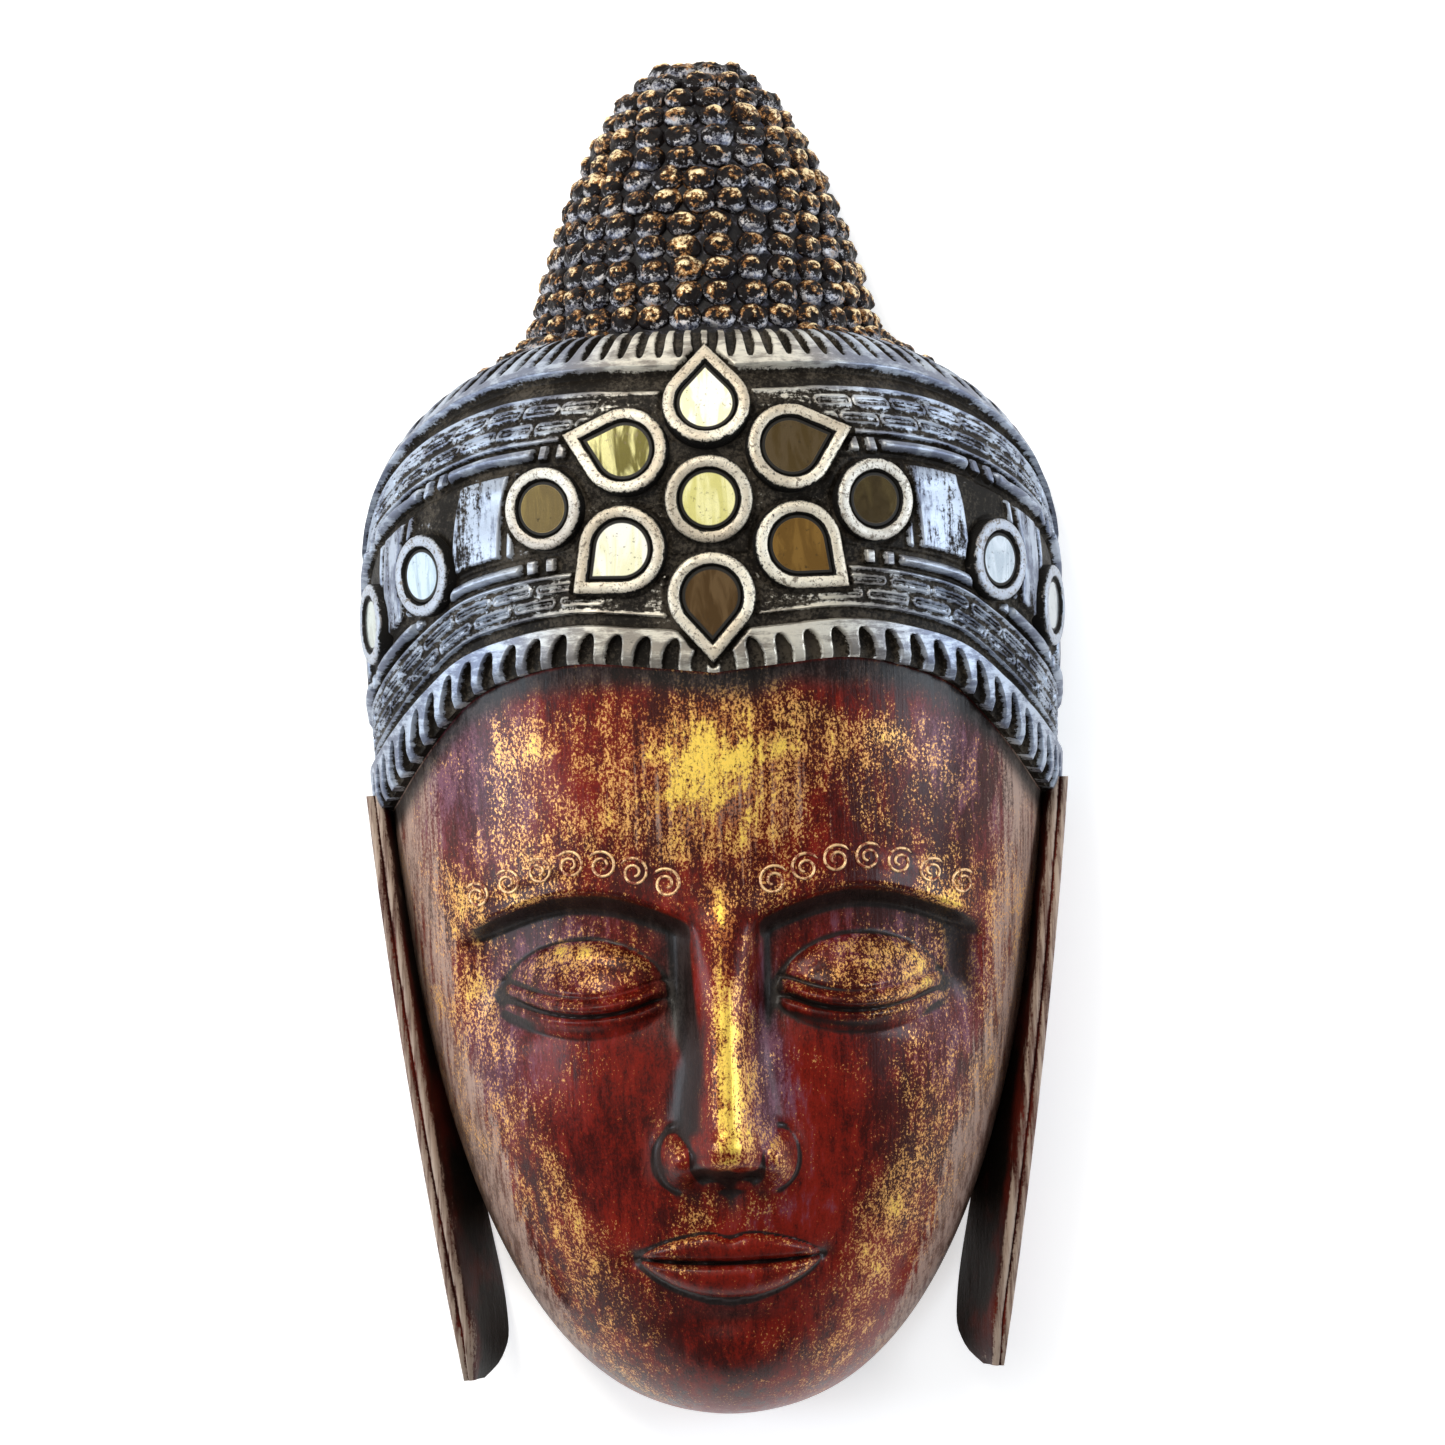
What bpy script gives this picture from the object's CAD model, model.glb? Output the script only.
"""The carved head mask dressed: fine carving, lacquer, gold leaf, silver paint, mirrors, light, camera."""
import math

import bmesh
import bpy
import numpy as np
from mathutils import Matrix, Vector


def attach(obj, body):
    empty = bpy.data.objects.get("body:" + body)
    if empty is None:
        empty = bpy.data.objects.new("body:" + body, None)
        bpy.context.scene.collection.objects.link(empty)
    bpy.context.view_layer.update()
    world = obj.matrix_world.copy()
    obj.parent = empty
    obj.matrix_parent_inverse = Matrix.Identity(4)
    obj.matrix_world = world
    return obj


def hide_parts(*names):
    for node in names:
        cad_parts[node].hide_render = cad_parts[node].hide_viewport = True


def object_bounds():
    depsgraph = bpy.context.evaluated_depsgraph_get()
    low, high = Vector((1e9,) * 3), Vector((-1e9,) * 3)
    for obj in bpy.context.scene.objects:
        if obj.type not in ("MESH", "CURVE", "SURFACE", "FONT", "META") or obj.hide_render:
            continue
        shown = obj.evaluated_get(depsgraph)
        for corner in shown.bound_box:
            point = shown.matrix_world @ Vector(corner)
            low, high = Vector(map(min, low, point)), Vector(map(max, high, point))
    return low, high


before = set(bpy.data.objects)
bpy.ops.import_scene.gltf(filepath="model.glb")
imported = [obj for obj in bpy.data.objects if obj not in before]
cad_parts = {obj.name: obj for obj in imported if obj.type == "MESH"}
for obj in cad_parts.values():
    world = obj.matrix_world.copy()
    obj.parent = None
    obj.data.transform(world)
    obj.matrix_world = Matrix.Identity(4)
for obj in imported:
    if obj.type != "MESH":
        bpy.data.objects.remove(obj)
cad_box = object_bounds()

# The carver's grid: the mask is 500 parts long, and the free carving is set out in these parts
PARTS = 500.0
LENGTH = cad_box[1][1] - cad_box[0][1]
PART = LENGTH / PARTS
CHIN = cad_box[0][1]  # where height 0 of the carver's grid lies along Y

# Bare head, in parts: chin at 0, tip of the topknot's curls at 500
WIDEST = 310.0
HEAD_HALF = 123.0
HEAD_DEPTH = 119.0
DOME_RISE = 94.0
KNOT_BASE = 404.0
KNOT_TOP = 497.5
KNOT_HALF = 60.0
KNOT_DEPTH = 80.0
UPRIGHT_SHARE = 0.14
UPRIGHT_SPAN = 0.08
HALF_ROUND = 195.0  # length of the way round from the middle line to a rim

# Face on textbook thirds, in parts
HAIRLINE = 277.0
THIRD = HAIRLINE / 3
BROW = 2 * THIRD
NOSE_BASE = THIRD
MOUTH = 2 * THIRD / 3
EYE = 156.0
EYE_WIDTH = 2 * HEAD_HALF / 5
EYE_X = EYE_WIDTH
NOSE_TIP = NOSE_BASE + 10
LIP_HALF = 33.0
UPPER_LIP = 11.0
LOWER_LIP = 13.0

# Crown: its edges, and its bands as shares of the way from the lower edge to the upper edge
CROWN_TOP = 391.0
CROWN_FALL = 73.0
CROWN_FALL_POWER = 5.5
TRIM = 0.12
GROOVE = 0.155
CHAIN = 0.285
BAND = 0.345
BAND_TOP = 0.625
CHAIN_TOP = 0.685
GROOVE_TOP = 0.83
TRIM_TOP = 0.88
TRIM_TEETH = 42
LOWER_SEAM = 0.2975  # where the crown is parted into strips, along its dark lines
UPPER_SEAM = 0.6725

# The band's carving, as spans of the way round from the middle line to a rim
CUSHIONS = ((0.372, 0.478), (0.632, 0.70), (0.845, 0.97))
POSTS = ((0.347, 0.359), (0.717, 0.727), (0.607, 0.617))

# Heights of the crown over the bare head, in parts
GROUND_RISE = 2.5
BAND_RISE = 3.5
CHAIN_RISE = 4.5
RIDGE_RISE = 6.0
TRIM_RISE = 7.0
NOTCH_RISE = 3.0
PANEL_RISE = 1.8

# Mirrors: places in parts, sizes in metres
FLOWER_Y = 334.0
PETAL_REACH = 34.8
SIDE_MIRROR_X = 56.5
ROUNDELS = ((0.555, 0.425), (0.775, 0.45))
MIRROR_RADIUS = 0.0106
BAND_MIRROR_RADIUS = 0.0098
MIRROR_THICKNESS = 0.002
MIRROR_GAP = 0.0003
MIRROR_SINK = 0.0012
RING_WIDTH = 0.0048
RING_RISE = 0.0035
RING_ROOT = 0.005
PUTTY_LAP = 0.0013  # how far the dark putty laps over a mirror's edge
DROP_TIP = 1.52

# Wood left around the hollow, in metres
WALL = 0.018
KNOT_CORE = 0.015
RIM_CENTRE = 230.0  # height, in parts, round which the rims of back and hollow are matched
EAR_THICKNESS = 0.0065
EAR_TOP = 231.0  # the ears' heights are in parts
EAR_LENGTH = 216.0

# Curls, in parts
CURL_PITCH = 13.0
CURL_ROW = 9.4
CURL_RISE = 4.2

# How finely the meshes are divided
FACE_ROWS = 318
FACE_COLUMNS = 261
CAP_ROWS = 34
HOLLOW_LINES = 71
STRIP_STEPS = 20  # columns of the crown's strips for each tooth

CAMERA_HEIGHT = 2.5
PICTURE_WIDTH = 0.538  # width of the floor that the picture shows
CAMERA_X = 0.0026
CAMERA_Y = 0.0043
ROLL = math.radians(1.64)
FLOOR_GLOW = 0.5
FLOOR_HALF = 6.0
FLOOR_GAP = 0.0002


def curve_through(*points):
    """A smooth function through (x, y) points, flat beyond the ends."""
    xs, ys = np.array(points, float).T
    slopes = np.gradient(ys, xs)

    def value(x):
        x = np.clip(np.asarray(x, float), xs[0], xs[-1])
        i = np.clip(np.searchsorted(xs, x) - 1, 0, len(xs) - 2)
        span = xs[i + 1] - xs[i]
        t = (x - xs[i]) / span
        start = (1 + 2 * t) * (1 - t) ** 2 * ys[i] + t * (1 - t) ** 2 * span * slopes[i]
        end = t * t * (3 - 2 * t) * ys[i + 1] + t * t * (t - 1) * span * slopes[i + 1]
        return start + end

    return value


def ramp(x, start, end):
    """0 before start, 1 after end, smooth between."""
    t = np.clip((x - start) / (end - start), 0, 1)
    return t * t * (3 - 2 * t)


def within(x, start, end, edge):
    """1 between start and end, 0 outside, with soft edges."""
    return ramp(x, start - edge, start + edge) * (1 - ramp(x, end - edge, end + edge))


def line_at(x, at, half):
    """A rounded line of height 1 along x = at."""
    return np.exp(-(((x - at) / half) ** 2))


def hump(x, y, at_x, at_y, reach_x, reach_y):
    """A round rise of height 1 that fades with distance."""
    return np.exp(-(((x - at_x) / reach_x) ** 2) - ((y - at_y) / reach_y) ** 2)


def egg(share, inner, outer):
    return (1 - np.clip(share, 0, 1) ** inner) ** (1 / outer)


def larger(a, b, sharpness=12):
    return (a**sharpness + b**sharpness) ** (1 / sharpness)


def wobble(x, y, seed, size):
    """Smooth unevenness between about -1 and 1, the same each run."""
    random = np.random.default_rng(seed)
    total = np.zeros(np.broadcast(x, y).shape)
    for _ in range(7):
        turn, phase = random.uniform(0, 2 * math.pi, 2)
        wave = 2 * math.pi / size * random.uniform(0.6, 1.6)
        total += np.sin(wave * (x * math.cos(turn) + y * math.sin(turn)) + phase)
    return total / 3.5


# Bare head
def head_shares(y):
    up = (y - WIDEST) / DOME_RISE
    down = (WIDEST - y) / WIDEST
    knot = np.clip((KNOT_TOP - y) / (KNOT_TOP - KNOT_BASE), 0, None)
    return up, down, knot, np.clip(up / 0.3, 0, 1)


def half_width(y):
    up, down, knot, knot_shows = head_shares(y)
    head = HEAD_HALF * egg(up, 2.1, 2.05) * egg(down, 2.2, 2.4)
    return larger(head, KNOT_HALF * knot**0.44 * knot_shows)


def depth(y):
    up, down, knot, knot_shows = head_shares(y)
    head = HEAD_DEPTH * egg(up, 4, 2.4) * egg(down, 3, 4)
    return larger(head, KNOT_DEPTH * knot**0.45 * knot_shows)


def bare(v, y):
    """Point of the bare head. v runs from -1 at the left rim over the front to 1 at the right rim."""
    v, y = np.broadcast_arrays(np.asarray(v, float), np.asarray(y, float))
    side = np.abs(v)
    turn = np.clip(side / (1 - UPRIGHT_SPAN), 0, 1) * math.pi / 2
    drop = np.clip((side - 1 + UPRIGHT_SPAN) / UPRIGHT_SPAN, 0, 1)
    deep = depth(y)
    upright = UPRIGHT_SHARE * deep
    x = np.sign(v) * half_width(y) * np.sin(turn)
    z = upright * (1 - drop) + (deep - upright) * np.cos(turn)
    return np.stack([x, y, z], -1)


def outward(v, y):
    """Unit normal of the bare head."""
    small_v, small_y = 0.004, 0.4
    v, y = np.broadcast_arrays(np.asarray(v, float), np.asarray(y, float))
    low, high = np.clip(y - small_y, 0.05, KNOT_TOP - 0.1), np.clip(y + small_y, 0.1, KNOT_TOP - 0.05)
    across = bare(np.clip(v + small_v, -1, 1), y) - bare(np.clip(v - small_v, -1, 1), y)
    normal = np.cross(across, bare(v, high) - bare(v, low))
    normal[..., 2] = np.where(np.abs(v) > 1 - UPRIGHT_SPAN / 2, 0, np.maximum(normal[..., 2], 0))
    normal[..., 1] *= 1 - ramp(np.abs(v), 0.8, 0.97)
    return normal / np.maximum(np.linalg.norm(normal, axis=-1, keepdims=True), 1e-9)


def way_round(x, y):
    """v of the point that lies at x on the front."""
    return np.arcsin(np.clip(x / half_width(y), -1, 1)) / (math.pi / 2) * (1 - UPRIGHT_SPAN)


# Face
def nose(x, y):
    ridge = curve_through(
        (NOSE_BASE - 5, 0), (NOSE_BASE, 6), (NOSE_BASE + 4, 20), (NOSE_TIP, 25), (NOSE_TIP + 9, 23),
        (EYE - 14, 15), (EYE, 11), (BROW - 4, 6), (BROW + 8, 1.5), (BROW + 22, 0),
    )
    half = curve_through((NOSE_BASE, 14), (NOSE_TIP, 14), (EYE - 20, 11), (EYE, 10.5), (BROW + 10, 19))
    body = ridge(y) * np.exp(-((np.abs(x) / half(y)) ** 2.3))
    wing = 13 * np.exp(-((np.abs(np.abs(x) - 16.5) / 7.5) ** 2.4) - (np.abs(y - NOSE_BASE - 7) / 9) ** 2.4)
    return np.maximum(body, wing) + 0.25 * np.minimum(body, wing)


def brow_bend(x):
    """How far the brow line lies below its highest point."""
    return 22 * (1 - np.exp(-0.8 * ((np.abs(x) - EYE_X) / 42) ** 2))


def lid_bend(x):
    """How far the closed lids' line lies above its lowest point."""
    across = (np.abs(x) - EYE_X) / (EYE_WIDTH / 2)
    return 5 * across**2 * (1 - ramp(np.abs(across), 0.9, 1.9))


def eyes(x, y):
    side = np.abs(x)
    across = (side - EYE_X) / (EYE_WIDTH / 2)
    below = BROW + 10 - brow_bend(x) - y
    inside = ramp(side, 8, 17) * (1 - ramp(side, 80, 100))
    socket = -8.5 * ramp(below, -1, 7) * (1 - ramp(below, 24, 54)) * inside
    arch = 1.8 * np.exp(-((below + 4) / 5) ** 2) * inside
    reach = 14.5 + 6.5 * ramp(y - EYE, -6, 8)
    softness = 0.85 + 0.45 * ramp(EYE - y, -4, 8)
    ball = 11.0 * np.clip(1 - (across / 1.22) ** 2 - ((y - EYE - 1) / reach) ** 2, 0, 1) ** softness
    under_lid = -2.0 * (1 - ramp(y - EYE + 5 - lid_bend(x), -1.5, 1.5)) * ramp(ball, 0, 6)
    return socket + arch + ball + under_lid


def lips(x, y):
    share = np.clip(np.abs(x) / LIP_HALF, 0, 1)
    line = MOUTH + 1.5 * share**2
    bow = 1 - 0.2 * np.exp(-((x / 4.5) ** 2))
    upper = UPPER_LIP * (1 - share**2) ** 0.75 * bow
    lower = LOWER_LIP * (1 - share**2) ** 0.8
    above = np.clip((y - line) / np.maximum(upper, 0.1), 0, 1)
    under = np.clip((line - y) / np.maximum(lower, 0.1), 0, 1)
    top = 5.0 * np.sqrt(np.clip(4 * above * (1 - above), 0, 1)) ** 0.8
    bottom = 6.5 * np.sqrt(np.clip(4 * under * (1 - under), 0, 1)) ** 0.9
    corner = -2.0 * hump(np.abs(x), y, LIP_HALF + 1.5, MOUTH + 1.5, 4.5, 4.5)
    return (top + bottom) * (1 - share**6) + corner


def fine_lines(x, y):
    """The knife cuts that are too fine for the solid: lids, lips, nostrils and brow edges."""
    side = np.abs(x)
    across = (side - EYE_X) / (EYE_WIDTH / 2)
    on_eye = 1 - ramp(np.abs(across), 0.98, 1.3)
    mid_eye = 1 - ramp(np.abs(across), 0.6, 1.02)
    lid = y - EYE + 5 - lid_bend(x)
    cuts = -2.2 * line_at(lid, 0, 1.1) * on_eye
    cuts += 1.7 * line_at(lid, 3.0, 1.8) * on_eye
    cuts -= 1.3 * line_at(lid, 6.6, 1.2) * on_eye
    cuts += 1.5 * line_at(lid, -3.2, 1.9) * on_eye
    cuts -= 0.4 * line_at(y, EYE + 14 - 9 * across**2, 1.6) * mid_eye
    share = side / LIP_HALF
    parting = MOUTH + 1.5 * np.minimum(share, 1) ** 2
    cuts -= 1.7 * line_at(y, parting, 1.3) * (1 - ramp(share, 0.97, 1.08))
    cuts -= 3.2 * hump(side, y, 8.2, NOSE_BASE + 0.5, 3.6, 2.2)
    wing_edge = np.hypot((side - 15.5) / 9.5, (y - NOSE_BASE - 7) / 11.5)
    cuts -= 1.3 * line_at(wing_edge, 1.05, 0.13) * ramp(side, 15, 20)
    brow = BROW + 10 - brow_bend(x) - y
    inside = ramp(side, 12, 20) * (1 - ramp(side, 84, 98))
    cuts += 0.7 * line_at(brow, -1.5, 1.5) * inside
    return cuts


def face_rise(x, y):
    """Height that the face's features add to the bare head, in parts."""
    side = np.abs(x)
    muzzle = 6.5 * hump(x, y, 0, MOUTH + 6, 40, 30)
    chin = 8.0 * hump(x, y, 0, 22, 25, 17)
    under_lip = -2.5 * hump(x, y, 0, MOUTH - LOWER_LIP - 8, 20, 6)
    cheek = 5.5 * hump(side, y, 58, 112, 32, 38)
    philtrum = -1.6 * hump(x, y, 0, NOSE_BASE - 8, 3.6, 9) + 0.8 * hump(side, y, 7, NOSE_BASE - 9, 3, 9)
    forehead = 2.0 * hump(x, y, 0, BROW + 48, 55, 32)
    return nose(x, y) + eyes(x, y) + lips(x, y) + muzzle + chin + under_lip + cheek + philtrum + forehead


# Crown
CROWN_LOW = curve_through(
    (0, 272), (0.10, 274.3), (0.24, 276.3), (0.36, 272), (0.46, 265), (0.56, 252), (0.66, 239.5), (0.76, 230),
    (0.88, 225), (1.0, 223),
)


def crown_low(v):
    return CROWN_LOW(np.abs(v))


def crown_top(v):
    return CROWN_TOP - CROWN_FALL * np.abs(v) ** CROWN_FALL_POWER


def crown_y(v, share):
    low = crown_low(v)
    return low + share * (crown_top(v) - low)


def drop_distance(x, y, radius, tip):
    """Distance from a drop's outline, negative inside. Its round end is at the origin, its tip along X."""
    y = np.abs(y)
    flank = math.acos(min(radius / tip, 1.0))
    normal = np.array([math.cos(flank), math.sin(flank)])
    touch = radius * normal
    along = np.array([normal[1], -normal[0]])
    length = math.sqrt(max(tip**2 - radius**2, 0))
    run = (x - touch[0]) * along[0] + (y - touch[1]) * along[1]
    round_part = np.hypot(x, y) - radius
    flat_part = x * normal[0] + y * normal[1] - radius
    past_tip = np.hypot(x - tip, y)
    return np.where(run < 0, round_part, np.where(run < length, flat_part, past_tip))


def seat(v, y, turn):
    """Frame on the crown's ground at (v, y), in parts: local X points along turn, local Z out of the wood."""
    normal = Vector(outward(v, y))
    right = Vector(bare(v + 0.01, y) - bare(v - 0.01, y))
    right = (right - normal * right.dot(normal)).normalized()
    along = (Matrix.Rotation(turn, 3, normal) @ right).normalized()
    made = Matrix((along, normal.cross(along), normal)).transposed().to_4x4()
    made.translation = Vector(bare(v, y)) + normal * BAND_RISE
    return made


def mirror_places():
    """(name, frame, tip in radii, mirror radius in parts) of every mirror on the crown."""
    petal, band = MIRROR_RADIUS / PART, BAND_MIRROR_RADIUS / PART
    places = [("mirror_centre", seat(0.0, FLOWER_Y, 0.0), 1.0, petal)]
    petals = (
        ("top", 90, 90, 0.9), ("upper_right", 30, 16, 0.94), ("lower_right", -30, -40, 1.0),
        ("bottom", -90, -90, 1.0), ("lower_left", 210, 220, 1.0), ("upper_left", 150, 164, 0.94),
    )
    for name, place, tip, share in petals:
        x = share * PETAL_REACH * math.cos(math.radians(place))
        y = FLOWER_Y + share * PETAL_REACH * math.sin(math.radians(place))
        spot = seat(float(way_round(x, y)), y, math.radians(tip))
        places.append((f"mirror_petal_{name}", spot, DROP_TIP, petal))
    for side, word in ((-1, "left"), (1, "right")):
        v = side * float(way_round(SIDE_MIRROR_X, FLOWER_Y))
        spots = [(v, float(crown_y(v, 0.49)))]
        spots += [(side * v, float(crown_y(side * v, share))) for v, share in ROUNDELS]
        for number, (v, y) in enumerate(spots, 1):
            places.append((f"mirror_band_{word}_{number}", seat(v, y, 0.0), 1.0, band))
    return places


PLACES = mirror_places()


def ring_distance(points):
    """Distance from the nearest ring's outer edge, negative inside it, for points on the crown."""
    nearest = np.full(points.shape[:-1], 99.0)
    for _, place, tip, radius in PLACES:
        outer = radius + (MIRROR_GAP + RING_WIDTH) / PART
        inverse = np.array(place.inverted())
        local = points @ inverse[:3, :3].T + inverse[:3, 3]
        away = drop_distance(local[..., 0], local[..., 1], outer, outer * tip)
        nearest = np.minimum(nearest, np.where(np.abs(local[..., 2]) < 25, away, 99.0))
    return nearest


def teeth(v, inward, more=0.0):
    """Depth of the trim's notches, 0 to 1. inward is 0 at the trim's outer edge and 1 at its inner line."""
    lean = np.sign(v) * -0.34 * np.abs(inward - 0.1) ** 1.6
    phase = (v + 1) / 2 * TRIM_TEETH - lean
    phase = phase - np.floor(phase) - 0.5
    half = (0.27 + more) * np.sqrt(np.clip(1 - (inward / 0.9) ** 3, 0, 1))
    return (1 - ramp(np.abs(phase), half - 0.07, half + 0.07)) * (half > 0.02)


def links(run, across, half):
    """Outlines of long rounded links in two staggered rows. across is 0 in the middle of the band."""
    row = np.where(across > 0, 0.5, 0.0)
    length = 17.0
    along = run / length + row
    along = (along - np.floor(along) - 0.5) * length
    distance = np.hypot(np.maximum(np.abs(along) - 6.0, 0), np.abs(across) - half * 0.44)
    return np.maximum(line_at(distance, half * 0.22, 0.5), 0.8 * line_at(distance, 0, 0.4))


def crown_rise(v, share, points):
    """Height of the carved crown over the bare head, in parts, and how thick the silver lies, 0 to 1."""
    side = np.abs(v)
    run = v * HALF_ROUND
    width = crown_top(v) - crown_low(v)
    soft = 0.5 / width
    low_in, top_in = share / TRIM, (1 - share) / (1 - TRIM_TOP)
    trim = within(share, -1, TRIM, soft)
    trim_top = within(share, TRIM_TOP, 2, soft)
    notch = teeth(v, np.clip(low_in / 0.86, 0, 1)) * (low_in < 0.86)
    notch_top = teeth(v, np.clip(top_in / 0.86, 0, 1)) * (top_in < 0.86)
    crest = 1 - 0.4 * np.clip(1 - low_in / 0.4, 0, 1) ** 2
    crest_top = 1 - 0.4 * np.clip(1 - top_in / 0.4, 0, 1) ** 2
    height = GROUND_RISE + (TRIM_RISE - GROUND_RISE) * (trim * crest + trim_top * crest_top)
    height = np.where(notch > 0, height + (NOTCH_RISE - height) * notch, height)
    height = np.where(notch_top > 0, height + (NOTCH_RISE + 1.0 - height) * notch_top, height)
    dark = teeth(v, np.clip(low_in / 0.86, 0, 1), 0.02) * (low_in < 0.9)
    dark_top = teeth(v, np.clip(top_in / 0.86, 0, 1), 0.06) * (top_in < 0.9)
    paint = 0.05 + 0.85 * (trim + trim_top) * (1 - np.maximum(dark, dark_top))

    away_from_flower = ramp(np.abs(points[..., 0]), 30, 42)
    for low, high in ((GROOVE, CHAIN), (CHAIN_TOP, GROOVE_TOP)):
        middle, half = (low + high) / 2, (high - low) / 2 * width
        across = (share - middle) * width
        plain = within(share, low, high, soft)
        height += (CHAIN_RISE - GROUND_RISE - 0.6) * plain * (0.45 + 0.55 * away_from_flower)
        edges = line_at(np.abs(across), half - 0.9, 0.75)
        carved = links(run, across, half - 1.6)
        height += plain * (0.9 * edges + 1.0 * carved * away_from_flower)
        paint += plain * (0.16 + 0.10 * away_from_flower + 0.5 * np.maximum(edges, carved * away_from_flower))

    stud = np.zeros_like(side)
    broken = 1 - ramp(side, 0.31, 0.318)
    for place in (0.29, 0.555, 0.775):
        broken = np.maximum(broken, within(side, place - 0.038, place + 0.038, 0.004))
        for shift in (-0.018, 0.018):
            stud = np.maximum(stud, within(side, place + shift - 0.009, place + shift + 0.009, 0.003))
    for middle in ((CHAIN + BAND) / 2, (BAND_TOP + CHAIN_TOP) / 2):
        across = (share - middle) * width / 3.0
        bar = np.sqrt(np.clip(1 - (across / 0.72) ** 2, 0, 1))
        height += (RIDGE_RISE + 0.6 - GROUND_RISE) * bar * (1 - broken)
        height += (RIDGE_RISE - GROUND_RISE) * 0.85 * ramp(1 - np.abs(across), 0, 0.35) * stud
        paint += np.minimum(1.3 * bar, 1) * (1 - broken) * 0.85
        paint += ramp(1 - np.abs(across), 0.1, 0.4) * stud * 0.8

    middle = (share - BAND) / (BAND_TOP - BAND)
    band = within(share, BAND + 0.004, BAND_TOP - 0.004, soft)
    height += (BAND_RISE - GROUND_RISE) * 0.6 * band
    swell = 1 - (2 * middle - 1) ** 2
    cushion = sum(within(side, *span, 0.004) for span in CUSHIONS) * within(middle, 0.07, 0.93, 0.02)
    height += (BAND_RISE + PANEL_RISE - GROUND_RISE - 0.6) * cushion * (1 + 0.15 * swell)
    post = sum(within(side, *span, 0.003) for span in POSTS) * within(middle, 0.06, 0.94, 0.02)
    height += 1.9 * post
    rubbed = 1 - 0.45 * within(side, 0.42, 0.5, 0.05)
    paint += cushion * (0.36 + 0.36 * swell) * rubbed + 0.6 * post

    ring = ring_distance(points)
    moat = ramp(ring, 0.4, 2.4)
    floor = GROUND_RISE - 0.2
    height = floor + (height - floor) * moat
    height = np.where(ring < -0.5, BAND_RISE - 1.2, height)
    return height, np.clip(paint * ramp(ring, 1.2, 3.0), 0, 1)


# Meshes
def place_in_frame(points):
    """Points of the carver's grid in metres, in the frame of the part and inside the solids' box."""
    moved = np.array(points, float) * PART
    moved[..., 1] += CHIN
    return np.clip(moved, cad_box[0], cad_box[1])


def grid_faces(rows, columns, first=0):
    corner = first + np.arange(rows - 1)[:, None] * columns + np.arange(columns - 1)
    return np.stack([corner, corner + 1, corner + columns + 1, corner + columns], -1).reshape(-1, 4).tolist()


def zipped(low, high):
    """Triangles between two runs of (order, point number) that may have different numbers of points."""
    faces, i, j = [], 0, 0
    while i < len(low) - 1 or j < len(high) - 1:
        next_low = low[i + 1][0] if i < len(low) - 1 else math.inf
        next_high = high[j + 1][0] if j < len(high) - 1 else math.inf
        if next_low <= next_high:
            faces.append((low[i][1], low[i + 1][1], high[j][1]))
            i += 1
        else:
            faces.append((low[i][1], high[j + 1][1], high[j][1]))
            j += 1
    return faces


def rim_loop(points, rows, columns, first=0):
    """The two end columns of a grid as one loop of (angle, point number) round the back."""
    right = [first + r * columns + columns - 1 for r in range(rows)]
    left = [first + r * columns for r in reversed(range(rows))]
    ends = right + left
    away = np.array([points[i] for i in ends])[:, :2] - (0, RIM_CENTRE)
    angles = (np.degrees(np.arctan2(away[:, 1], away[:, 0])) % 360 + 90) % 360
    angles[0], angles[-1] = 0, 360
    return list(zip(angles, ends))


def add_piece(name, points, faces, materials, attributes=None, face_slots=None, sharp=50, merge=True):
    """A closed mesh piece that rides on the part, from points of the carver's grid."""
    mesh = bpy.data.meshes.new(name)
    mesh.from_pydata(place_in_frame(points).tolist(), [], faces)
    for material in materials:
        mesh.materials.append(material)
    if face_slots is not None:
        mesh.polygons.foreach_set("material_index", face_slots)
    for label, values in (attributes or {}).items():
        layer = mesh.attributes.new(label, "FLOAT", "POINT")
        layer.data.foreach_set("value", np.asarray(values, np.float32).ravel())
    work = bmesh.new()
    work.from_mesh(mesh)
    if merge:
        bmesh.ops.remove_doubles(work, verts=work.verts, dist=2e-6)
    bmesh.ops.recalc_face_normals(work, faces=work.faces)
    work.to_mesh(mesh)
    work.free()
    mesh.shade_smooth()
    mesh.set_sharp_from_angle(angle=math.radians(sharp))
    piece = bpy.data.objects.new(name, mesh)
    bpy.context.scene.collection.objects.link(piece)
    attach(piece, "root")
    return piece


def box_blur(field, rows, columns):
    """Mean of a field over a window of rows and columns, along its two axes."""
    for axis, size in ((0, rows), (1, columns)):
        before, after = (np.repeat(field.take([end], axis), size, axis) for end in (0, -1))
        padded = np.concatenate([before, field, after], axis)
        total = np.cumsum(padded, axis)
        count = field.shape[axis]
        low, high = (total.take(range(at, at + count), axis) for at in (0, 2 * size))
        field = (high - low) / (2 * size)
    return field


def stand_out(field, rows, columns, strength):
    """0 in cuts and hollows, 0.5 on plain stretches, 1 on edges and crests."""
    return np.clip(0.5 + strength * (field - box_blur(field, rows, columns)), 0, 1)


# Materials
class Signal:
    """A number that varies over a surface. Shader nodes work out the sums and products of signals."""

    def __init__(self, finish, socket):
        self.finish, self.socket = finish, socket

    def worked(self, operation, other):
        outputs = self.finish.node("Math", {0: self, 1: other}, operation=operation)
        return Signal(self.finish, outputs[0])

    def __add__(self, other):
        return self.worked("ADD", other)

    def __mul__(self, other):
        return self.worked("MULTIPLY", other)

    __radd__, __rmul__ = __add__, __mul__

    def most(self, other):
        return self.worked("MAXIMUM", other)

    def swing(self, share=1.0):
        """How far it lies from a half, times a share."""
        return (self + -0.5) * share

    def step(self, start, end):
        """0 below start, 1 above end, smooth between."""
        inputs = {"Value": self, "From Min": start, "From Max": end}
        outputs = self.finish.node("MapRange", inputs, interpolation_type="SMOOTHSTEP")
        return Signal(self.finish, outputs["Result"])


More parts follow.
